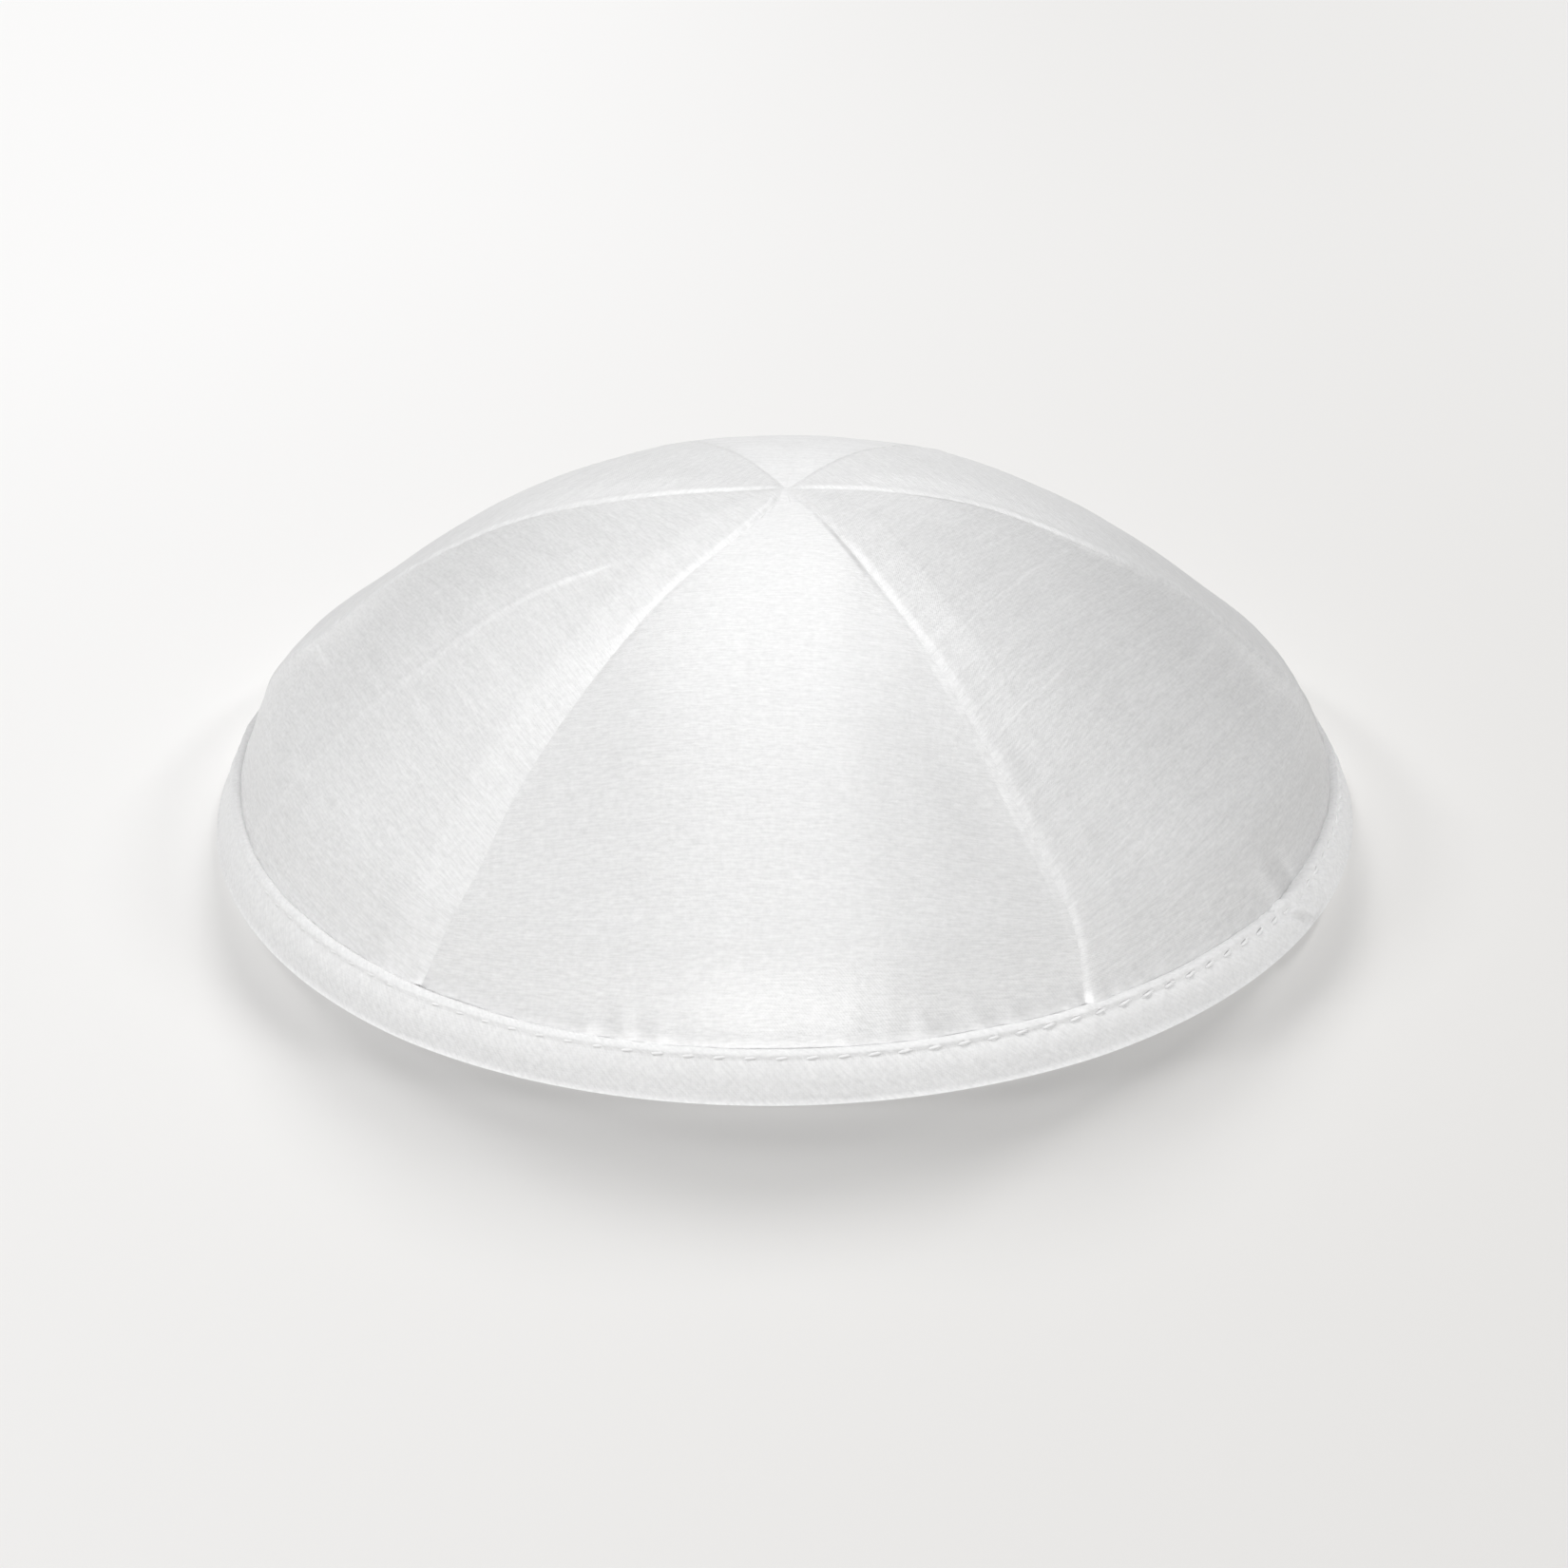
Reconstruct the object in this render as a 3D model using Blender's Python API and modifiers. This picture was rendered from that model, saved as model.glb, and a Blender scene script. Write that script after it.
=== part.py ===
# Kippah skullcap: six silk panels sewn together from the crown to the rim, and a folded
# binding round the edge. It rests on its rim. Metres, +Z up. The origin is the middle of the
# rim's underside, the front panel faces -Y, and azimuths turn from the front towards +X.
from collections import namedtuple
from math import asin, atan2, cos, hypot, pi, radians, sin, tan

import bmesh
import bpy
import numpy as np

# Sizes of the whole cap
CROWN_HEIGHT = 0.0476  # top of the crown above the surface that the cap rests on
EDGE_RADIUS = 0.0857  # raw lower edge of the panels, inside the binding
EDGE_LEAN = radians(27)  # lean of the lowest stretch of the panels from upright
CROWN_RIGHT = 0.0009  # the seams meet a little off the middle of the rim
CROWN_BACK = 0.0003
OVAL = -0.0002  # the rim's departures from a circle, two waves and three waves round
THREE_LOBES = -0.0004

# Sizes of the pieces
PANEL_THICKNESS = 0.0012  # silk with its backing
BINDING_THICKNESS = 0.0010  # one leg of the folded binding
BINDING_WIDTH = 0.0065  # outer leg, from the surface it rests on to its lip
BINDING_CORNER = 0.0006  # rounding of the fold's lower corners
SEAM_GAP = 0.0004  # between two panels
BINDING_GAP = 0.0003  # between the panels and the binding
TIP_RADIUS = 0.0015  # the panels' tips end this far from the point where the seams meet

# Mesh fineness
PANEL_COLUMNS = 10
PANEL_ROWS = 18
BINDING_STEPS = 96
LIP_POINTS = 4
CORNER_POINTS = 3

# Profile of a seam above the binding, as shares of its radius and of its rise at the binding's lip
Profile = namedtuple("Profile", "radius rise")
PROFILE = (
    Profile(radius=0.00, rise=1.000),
    Profile(radius=0.20, rise=0.982),
    Profile(radius=0.40, rise=0.899),
    Profile(radius=0.60, rise=0.749),
    Profile(radius=0.80, rise=0.485),
    Profile(radius=0.90, rise=0.313),
    Profile(radius=0.96, rise=0.171),
    Profile(radius=1.00, rise=0.000),
)

# How far a panel's middle is drawn from the round towards the straight chord between its seams
Flatness = namedtuple("Flatness", "radius share")
FLATNESS = (
    Flatness(radius=0.00, share=0.00),
    Flatness(radius=0.60, share=0.15),
    Flatness(radius=0.95, share=0.03),
)

# A panel runs from its own seam to the next row's. Azimuth at the rim, and how much the seam
# has swung from it where it comes to the crown, in degrees
Seam = namedtuple("Seam", "panel azimuth crown_swing")
SEAMS = (
    Seam(panel="panel_front", azimuth=-34.7, crown_swing=6.3),
    Seam(panel="panel_front_right", azimuth=28.0, crown_swing=-5.4),
    Seam(panel="panel_back_right", azimuth=88.0, crown_swing=0.2),
    Seam(panel="panel_back", azimuth=148.2, crown_swing=2.4),
    Seam(panel="panel_back_left", azimuth=204.7, crown_swing=-1.1),
    Seam(panel="panel_front_left", azimuth=265.6, crown_swing=-0.7),
)

# The panels' edge hangs in the fold, so it clears the surface by the fold and its gap
EDGE_HEIGHT = (
    BINDING_THICKNESS + (PANEL_THICKNESS + BINDING_GAP) * sin(EDGE_LEAN) + BINDING_GAP * cos(EDGE_LEAN)
)
OUTER_FACE = BINDING_GAP + BINDING_THICKNESS  # binding's outer face, out from the panels' own
INNER_FACE = -(PANEL_THICKNESS + BINDING_GAP + BINDING_THICKNESS)
LIP_RUN = BINDING_WIDTH - (EDGE_HEIGHT + OUTER_FACE * sin(EDGE_LEAN)) / cos(EDGE_LEAN)
LIP_RADIUS = EDGE_RADIUS - LIP_RUN * sin(EDGE_LEAN)
LIP_HEIGHT = EDGE_HEIGHT + LIP_RUN * cos(EDGE_LEAN)


def profile_height(radius):
    """Height of a seam at this radius: a smooth curve through PROFILE, straight inside the binding."""
    if radius >= LIP_RADIUS:
        return LIP_HEIGHT - (radius - LIP_RADIUS) / tan(EDGE_LEAN)
    rise = CROWN_HEIGHT - LIP_HEIGHT
    reach = [row.radius * LIP_RADIUS for row in PROFILE]
    height = [LIP_HEIGHT + row.rise * rise for row in PROFILE]
    slope = [0.0]
    for i in range(1, len(PROFILE) - 1):
        slope.append((height[i + 1] - height[i - 1]) / (reach[i + 1] - reach[i - 1]))
    slope.append(-1 / tan(EDGE_LEAN))
    i = max(k for k in range(len(PROFILE) - 1) if reach[k] <= radius)
    span = reach[i + 1] - reach[i]
    t = (radius - reach[i]) / span
    from_start = (2 * t**3 - 3 * t**2 + 1) * height[i] + (t**3 - 2 * t**2 + t) * span * slope[i]
    from_end = (3 * t**2 - 2 * t**3) * height[i + 1] + (t**3 - t**2) * span * slope[i + 1]
    return from_start + from_end


def profile_rows(count):
    """Radii from the tip to the raw edge, even along the profile."""
    radii = np.linspace(TIP_RADIUS, EDGE_RADIUS, 40 * count)
    heights = np.array([profile_height(radius) for radius in radii])
    along = np.concatenate([[0], np.cumsum(np.hypot(np.diff(radii), np.diff(heights)))])
    return np.interp(np.linspace(0, along[-1], count + 1), along, radii)


def seam_azimuth(seam, radius):
    """Azimuth of a seam in radians, with its swing growing from the rim to the crown."""
    return radians(seam.azimuth + seam.crown_swing * (1 - radius / EDGE_RADIUS) ** 1.5)


def panel_ends(index, radius):
    """Azimuths of the seams at a panel's left and right at this radius."""
    left = seam_azimuth(SEAMS[index], radius)
    right = seam_azimuth(SEAMS[(index + 1) % len(SEAMS)], radius)
    return left, right + (2 * pi if right < left else 0)


def plan_radius(index, radius, azimuth):
    """A radius at the seams, drawn in towards the panel's chord and out of round."""
    left, right = panel_ends(index, radius)
    middle = (left + right) / 2
    share = np.interp(radius / EDGE_RADIUS, [row.radius for row in FLATNESS], [row.share for row in FLATNESS])
    chord = cos((right - left) / 2) / cos(azimuth - middle)
    waves = OVAL * cos(2 * azimuth) + THREE_LOBES * sin(3 * azimuth)
    return radius * (1 - share + share * chord) + waves * (radius / EDGE_RADIUS) ** 2


def place(radius, azimuth, height, reach):
    """The point at this azimuth. reach, from 0 at the crown to 1 at the rim, takes it off centre."""
    off_centre = 1 - reach**2
    return (
        radius * sin(azimuth) + CROWN_RIGHT * off_centre,
        -radius * cos(azimuth) + CROWN_BACK * off_centre,
        height,
    )


def cloth_material(name, colour, roughness):
    material = bpy.data.materials.new(name)
    material.use_nodes = True
    shader = material.node_tree.nodes["Principled BSDF"]
    shader.inputs["Base Color"].default_value = (*colour, 1)
    shader.inputs["Roughness"].default_value = roughness
    shader.inputs["Metallic"].default_value = 0
    return material


def add_piece(name, bm, collection, colour, roughness):
    mesh = bpy.data.meshes.new(name)
    bm.to_mesh(mesh)
    bm.free()
    piece = bpy.data.objects.new(name, mesh)
    piece.data.materials.append(cloth_material(name + "_cloth", colour, roughness))
    collection.objects.link(piece)
    return piece


def shade(piece):
    piece.data.shade_smooth()
    piece.data.set_sharp_from_angle(angle=radians(40))


def make_panel(index, collection):
    """One panel: a grid laid on the cap between two seams, given its thickness inwards."""
    rows = profile_rows(PANEL_ROWS)
    bm = bmesh.new()
    bmesh.ops.create_grid(bm, x_segments=PANEL_COLUMNS, y_segments=PANEL_ROWS, size=0.5)
    for vertex in bm.verts:
        across = vertex.co.x + 0.5
        radius = rows[round((0.5 - vertex.co.y) * PANEL_ROWS)]
        left, right = panel_ends(index, radius)
        set_back = asin(SEAM_GAP / 2 / radius)
        azimuth = left + set_back + across * (right - left - 2 * set_back)
        height = profile_height(radius)
        vertex.co = place(plan_radius(index, radius, azimuth), azimuth, height, radius / EDGE_RADIUS)
    panel = add_piece(SEAMS[index].panel, bm, collection, colour=(0.84, 0.84, 0.83), roughness=0.42)
    wall = panel.modifiers.new("Wall", "SOLIDIFY")
    wall.thickness = PANEL_THICKNESS
    wall.offset = -1
    wall.use_even_offset = True
    shade(panel)


def round_corner(start, centre, radius, turn, count):
    """Points of an arc round centre, from the angle start through turn."""
    angles = [start + turn * k / (count - 1) for k in range(count)]
    return [(centre[0] + radius * cos(a), centre[1] + radius * sin(a)) for a in angles]


def on_slope(out, up):
    """Radius and height of a point out from the panels' face and up the slope from their raw edge."""
    radius = EDGE_RADIUS + out * cos(EDGE_LEAN) - up * sin(EDGE_LEAN)
    return radius, EDGE_HEIGHT + out * sin(EDGE_LEAN) + up * cos(EDGE_LEAN)


def on_floor(out):
    """Radius where a face that lies out from the panels' own comes down to the floor."""
    return EDGE_RADIUS + out * cos(EDGE_LEAN) + (EDGE_HEIGHT + out * sin(EDGE_LEAN)) * tan(EDGE_LEAN)


def lip(out):
    """Rounded top of one leg, whose nearer face lies out from the panels' own."""
    half = BINDING_THICKNESS / 2
    centre = on_slope(out + half, LIP_RUN - half)
    return round_corner(EDGE_LEAN, centre, half, pi, LIP_POINTS)


def floor_corner(out, side):
    """Rounded corner between the floor and a leg's face. side is 1 at the outer face, -1 at the inner."""
    opening = pi / 2 + side * EDGE_LEAN
    run = BINDING_CORNER / tan(opening / 2)
    centre = (on_floor(out) - side * run, BINDING_CORNER)
    arc = round_corner(-pi / 2, centre, BINDING_CORNER, side * (pi - opening), CORNER_POINTS)
    return arc[::side]


def binding_section():
    """Outline of the folded binding in radius and height, anticlockwise from the outer floor corner."""
    return (
        floor_corner(OUTER_FACE, 1)
        + lip(BINDING_GAP)
        + [on_slope(BINDING_GAP, -BINDING_GAP), on_slope(-PANEL_THICKNESS - BINDING_GAP, -BINDING_GAP)]
        + lip(INNER_FACE)
        + floor_corner(INNER_FACE, -1)
    )


def panel_at(azimuth):
    """Index of the panel whose edge passes this azimuth."""
    for index in range(len(SEAMS)):
        left, right = panel_ends(index, EDGE_RADIUS)
        if (azimuth - left) % (2 * pi) <= right - left:
            return index
    return 0


def make_binding(collection):
    """The folded strip: its section turned round the rim, then fitted to the panels' plan."""
    bm = bmesh.new()
    corners = [bm.verts.new((radius, 0, height)) for radius, height in binding_section()]
    for k, corner in enumerate(corners):
        bm.edges.new((corner, corners[(k + 1) % len(corners)]))
    bmesh.ops.spin(
        bm, geom=bm.verts[:] + bm.edges[:], axis=(0, 0, 1), cent=(0, 0, 0),
        angle=2 * pi, steps=BINDING_STEPS, use_merge=True,
    )
    for vertex in bm.verts:
        x, y, height = vertex.co
        azimuth = atan2(x, -y)
        index = panel_at(azimuth)
        turns = 2 * pi if azimuth < panel_ends(index, EDGE_RADIUS)[0] else 0
        fitted = plan_radius(index, EDGE_RADIUS, azimuth + turns) - EDGE_RADIUS
        vertex.co = place(hypot(x, y) + fitted, azimuth, height, 1)
    bmesh.ops.recalc_face_normals(bm, faces=bm.faces[:])
    binding = add_piece("rim_binding", bm, collection, colour=(0.87, 0.87, 0.86), roughness=0.5)
    shade(binding)


def main():
    for obj in list(bpy.data.objects):
        bpy.data.objects.remove(obj)
    collection = bpy.data.collections.new("kippah_skullcap")
    bpy.context.scene.collection.children.link(collection)
    for index in range(len(SEAMS)):
        make_panel(index, collection)
    make_binding(collection)


main()
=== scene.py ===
# White silk skullcap: six gores, the folded binding with its stitching, a pale floor and soft studio light.
# Metres, +Z up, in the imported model's own frame. The front gore faces -Y, and azimuths turn from it towards +X.
from math import cos, pi, radians, sin, tan

import bmesh
import bpy
import numpy as np
from mathutils import Matrix, Quaternion, Vector, noise


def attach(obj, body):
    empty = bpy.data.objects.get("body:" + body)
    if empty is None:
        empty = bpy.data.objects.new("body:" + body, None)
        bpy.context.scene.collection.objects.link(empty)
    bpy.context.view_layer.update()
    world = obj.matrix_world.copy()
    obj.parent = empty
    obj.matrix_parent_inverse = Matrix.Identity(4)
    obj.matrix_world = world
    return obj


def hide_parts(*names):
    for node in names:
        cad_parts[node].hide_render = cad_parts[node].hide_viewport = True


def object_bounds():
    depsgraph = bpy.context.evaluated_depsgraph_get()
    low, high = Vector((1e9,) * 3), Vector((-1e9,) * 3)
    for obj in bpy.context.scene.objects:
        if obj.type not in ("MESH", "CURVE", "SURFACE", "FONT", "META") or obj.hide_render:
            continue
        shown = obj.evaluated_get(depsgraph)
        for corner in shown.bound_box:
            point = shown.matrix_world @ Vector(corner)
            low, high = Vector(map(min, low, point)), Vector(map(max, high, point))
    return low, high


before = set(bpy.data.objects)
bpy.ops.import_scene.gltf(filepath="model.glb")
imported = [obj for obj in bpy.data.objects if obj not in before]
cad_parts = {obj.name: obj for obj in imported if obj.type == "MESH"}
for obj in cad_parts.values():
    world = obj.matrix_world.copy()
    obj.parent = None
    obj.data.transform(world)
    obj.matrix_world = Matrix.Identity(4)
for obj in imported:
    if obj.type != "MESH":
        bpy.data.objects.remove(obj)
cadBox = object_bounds()
bpy.ops.object.select_all(action="DESELECT")
print("frame loaded,", len(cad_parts), "nodes")

mm = 0.001

# The cap's shape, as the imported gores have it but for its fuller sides
cap = {
    "crownHeight": cadBox[1].z,
    "edgeRadius": 85.7 * mm,  # raw lower edge of the gores, inside the binding
    "edgeLean": radians(27),  # lean of the lowest stretch from upright
    "crownRight": 0.9 * mm,  # the seams meet a little off the rim's middle
    "crownBack": 0.3 * mm,
    "oval": -0.2 * mm,  # the rim's two waves and three waves out of round
    "threeLobes": -0.4 * mm,
    "fullSides": ((-105, 1.7 * mm, 24), (105, 1.0 * mm, 24)),  # azimuth in degrees, how far out, degrees across
    "fullHeights": (12 * mm, 26 * mm),  # where they are fullest and where they end, over the floor
    "wall": 1.2 * mm,  # silk with its backing
    "bindingLeg": 1.0 * mm,  # thickness of one leg of the binding
    "bindingWidth": 6.5 * mm,  # from the floor to the lip
    "clearance": 0.3 * mm,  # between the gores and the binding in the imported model
    # rise above the binding's lip at shares of the lip's radius
    "profile": ((0, 1.0), (0.2, 0.982), (0.4, 0.899), (0.6, 0.749), (0.8, 0.485), (0.9, 0.313), (0.96, 0.171),
        (1, 0)),
    # how far a gore's middle is drawn towards the straight chord, at shares of the edge's radius
    "flatness": ((0, 0), (0.3, 0.078), (0.6, 0.15), (0.8, 0.09), (0.95, 0.03), (1, 0.02)),
}

# A row for each gore, with the seam at its left: azimuth at the rim and swing at the crown, in degrees, and
# how far the seam strays to the right in mm, at mm from the crown. raised is 1 where this gore's folded edge
# stands over the seam and -1 where the last gore's does. edge and width are that roll's height and width in mm
# and fall is how much wider its far flank is, each from the rim to the crown. band gives the width in mm of the
# allowances under this gore, beside its left and its right seam, and cover how much they show.
gores = (
    {"name": "front", "azimuth": -34.7, "swing": 6.3, "raised": -1,
        "edge": (0.03, 0.04, 0.02, 0.05, 0.14), "width": (1.4, 0.9), "fall": (2.5, 1.5),
        "band": (12.0, 9.4), "cover": (0, 0.1),
        "sway": ((5, 1.2), (10, 1.9), (16, 2.2), (22, 1.9), (30, 1.1), (40, 1.1), (55, 1.6), (75, 2.1), (84, 2.7),
            (93, 1.7))},
    {"name": "front_right", "azimuth": 28.0, "swing": -5.4, "raised": 1,
        "edge": (0.28, 0.33, 0.08, 0.02, 0), "width": (1.4, 0.6), "fall": (2.6, 2.0),
        "band": (7.8, 8.0), "cover": (0.6, 0.3),
        "sway": ((8, 0.4), (15, 0.4), (30, 0), (50, -0.1), (75, 0.2), (93, 0.7))},
    {"name": "back_right", "azimuth": 88.0, "swing": 0.2, "raised": 1,
        "edge": (0.30, 0.30, 0.24, 0.12, 0.05), "width": (1.5, 1.2), "fall": (1, 1),
        "band": (8.0, 8.0), "cover": (0.5, 0.5),
        "sway": ((8, 0.2), (20, 0.9), (30, 1.2), (36, 0.2), (44, -1.6), (52, -1.8), (60, -0.6), (70, 0.4), (85, 0))},
    {"name": "back", "azimuth": 148.2, "swing": 2.4, "raised": -1,
        "edge": (0.14, 0.03), "width": (1.3, 0.8), "fall": (1, 1),
        "band": (8.0, 8.0), "cover": (0.5, 0.5), "sway": ((30, 0.4), (60, -0.4))},
    {"name": "back_left", "azimuth": 204.7, "swing": -1.1, "raised": 1,
        "edge": (0.14, 0.03), "width": (1.3, 0.8), "fall": (1, 1),
        "band": (8.0, 8.0), "cover": (0.5, 0.5), "sway": ((30, -0.4), (60, 0.4))},
    {"name": "front_left", "azimuth": 265.6, "swing": -0.7, "raised": -1,
        "edge": (0.20, 0.20, 0.24, 0.11, 0.06), "width": (1.5, 1.1), "fall": (1, 1),
        "band": (8.0, 8.2), "cover": (0.2, 1.0),
        "sway": ((5, 0.8), (20, 1.6), (26, 1.2), (33, 0.3), (42, -0.4), (52, 0.2), (62, 0.4), (75, 0.4), (85, 0))},
)


# A smooth curve through a few points, with its slope given at both ends
def smoothCurve(points, firstSlope=0.0, lastSlope=0.0):
    x = np.array([point[0] for point in points], float)
    y = np.array([point[1] for point in points], float)
    step = np.diff(x)
    matrix = np.eye(len(x))
    goal = np.zeros(len(x))
    goal[0], goal[-1] = firstSlope, lastSlope
    for i in range(1, len(x) - 1):
        matrix[i, i - 1:i + 2] = step[i], 2 * (step[i - 1] + step[i]), step[i - 1]
        goal[i] = 3 * (step[i] * (y[i] - y[i - 1]) / step[i - 1] + step[i - 1] * (y[i + 1] - y[i]) / step[i])
    slope = np.linalg.solve(matrix, goal)

    def curve(at):
        i = np.clip(np.searchsorted(x, at, side="right") - 1, 0, len(x) - 2)
        t = np.clip((at - x[i]) / step[i], 0, 1)
        fromStart = (2 * t**3 - 3 * t**2 + 1) * y[i] + (t**3 - 2 * t**2 + t) * step[i] * slope[i]
        fromEnd = (3 * t**2 - 2 * t**3) * y[i + 1] + (t**3 - t**2) * step[i] * slope[i + 1]
        return fromStart + fromEnd

    return curve


def smoothStep(low, high, value):
    t = np.clip((value - low) / (high - low), 0, 1)
    return t * t * (3 - 2 * t)


def bell(value, width):
    return np.exp(-(value / width) ** 2)


lean = cap["edgeLean"]
edgeRadius = cap["edgeRadius"]
edgeHeight = cap["bindingLeg"] + (cap["wall"] + cap["clearance"]) * sin(lean) + cap["clearance"] * cos(lean)
outerFace = cap["clearance"] + cap["bindingLeg"]  # binding's outer face, out from the gores' own
innerFace = -(cap["wall"] + cap["clearance"] + cap["bindingLeg"])
lipRun = cap["bindingWidth"] - (edgeHeight + outerFace * sin(lean)) / cos(lean)  # raw edge to lip, up the slope
lipRadius = edgeRadius - lipRun * sin(lean)
lipHeight = edgeHeight + lipRun * cos(lean)
lipRise = cap["crownHeight"] - lipHeight
riseCurve = smoothCurve(cap["profile"], 0, -lipRadius / lipRise / tan(lean))
flatCurve = smoothCurve(cap["flatness"], 0.3, 0)


def seamHeight(radius):
    straight = lipHeight - (radius - lipRadius) / tan(lean)
    return np.where(radius >= lipRadius, straight, lipHeight + lipRise * riseCurve(radius / lipRadius))


profileRadii = np.linspace(0, edgeRadius, 4001)
profileHeights = seamHeight(profileRadii)
profileArcs = np.concatenate([[0], np.cumsum(np.hypot(np.diff(profileRadii), np.diff(profileHeights)))])
profileLevel = np.cos(np.arctan(np.gradient(profileHeights, profileRadii)))  # 1 where level, 0 where upright
lipArc = np.interp(lipRadius, profileRadii, profileArcs)


def swayCurve(row):
    mmFromCrown, stray = zip((0, 0), *row["sway"], (profileArcs[-1] / mm, 0))
    return smoothCurve(tuple(zip(mmFromCrown, stray)))


sways = [swayCurve(row) for row in gores]


def seamAzimuth(index, radius):
    row = gores[index]
    fromCrown = np.interp(radius, profileRadii, profileArcs) / mm
    stray = sways[index](fromCrown) * mm / np.maximum(radius, 3 * mm)
    return np.radians(row["azimuth"] + row["swing"] * (1 - radius / edgeRadius) ** 1.5) + stray


# Azimuths of the seams at a gore's left and right
def goreEnds(index, radius):
    following = (index + 1) % len(gores)
    turns = 2 * pi if gores[following]["azimuth"] < gores[index]["azimuth"] else 0
    return seamAzimuth(index, radius), seamAzimuth(following, radius) + turns


def planRadius(index, radius, azimuth):
    left, right = goreEnds(index, radius)
    share = flatCurve(radius / edgeRadius)
    chord = np.cos((right - left) / 2) / np.cos(azimuth - (left + right) / 2)
    waves = cap["oval"] * np.cos(2 * azimuth) + cap["threeLobes"] * np.sin(3 * azimuth)
    return radius * (1 - share + share * chord) + waves * (radius / edgeRadius) ** 2


def placeOnCap(radius, azimuth, height, reach):
    offCentre = 1 - reach**2
    fullest, top = cap["fullHeights"]
    rise = smoothStep(0, fullest, height) * (1 - smoothStep(fullest, top, height))
    for middle, out, across in cap["fullSides"]:
        turned = (azimuth - radians(middle) + pi) % (2 * pi) - pi
        radius = radius + out * bell(turned, radians(across)) * rise
    x = radius * np.sin(azimuth) + cap["crownRight"] * offCentre
    y = -radius * np.cos(azimuth) + cap["crownBack"] * offCentre
    return np.stack([x, y, height + 0 * x], -1)


def readPoints(mesh):
    points = np.empty(len(mesh.vertices) * 3, np.float32)
    mesh.vertices.foreach_get("co", points)
    return points.reshape(-1, 3).astype(float)


def readNormals(mesh):
    normals = np.empty(len(mesh.vertices) * 3, np.float32)
    mesh.vertex_normals.foreach_get("vector", normals)
    return normals.reshape(-1, 3).astype(float)


def writePoints(mesh, points):
    mesh.vertices.foreach_set("co", points.astype(np.float32).ravel())
    mesh.update()


# Perlin noise at many points given as columns
def noiseAt(*columns):
    return np.array([noise.noise(Vector(point)) for point in zip(*np.broadcast_arrays(*columns))])


def addGrid(name, columns, rows):
    bpy.ops.mesh.primitive_grid_add(x_subdivisions=columns, y_subdivisions=rows, size=1)
    piece = bpy.context.object
    piece.name = piece.data.name = name
    piece.data.uv_layers[0].name = "cloth"
    return piece


def readGridUv(mesh):
    uv = np.empty(len(mesh.loops) * 2, np.float32)
    mesh.uv_layers["cloth"].data.foreach_get("uv", uv)
    return uv.reshape(-1, 2).astype(float)


def writeUv(mesh, u, v):
    mesh.uv_layers["cloth"].data.foreach_set("uv", np.stack([u, v], -1).astype(np.float32).ravel())


# Welds what lies on one spot: a gore's tip, or the two ends of a strip that goes right round
def weldDoubles(mesh, distance, chosen=None):
    bm = bmesh.new()
    bm.from_mesh(mesh)
    bm.verts.ensure_lookup_table()
    welded = bm.verts[:] if chosen is None else [bm.verts[i] for i in chosen]
    bmesh.ops.remove_doubles(bm, verts=welded, dist=distance)
    bm.to_mesh(mesh)
    bm.free()


def applyModifiers(piece):
    bpy.ops.object.select_all(action="DESELECT")
    piece.select_set(True)
    bpy.context.view_layer.objects.active = piece
    for modifier in list(piece.modifiers):
        bpy.ops.object.modifier_apply(modifier=modifier.name)


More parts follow.
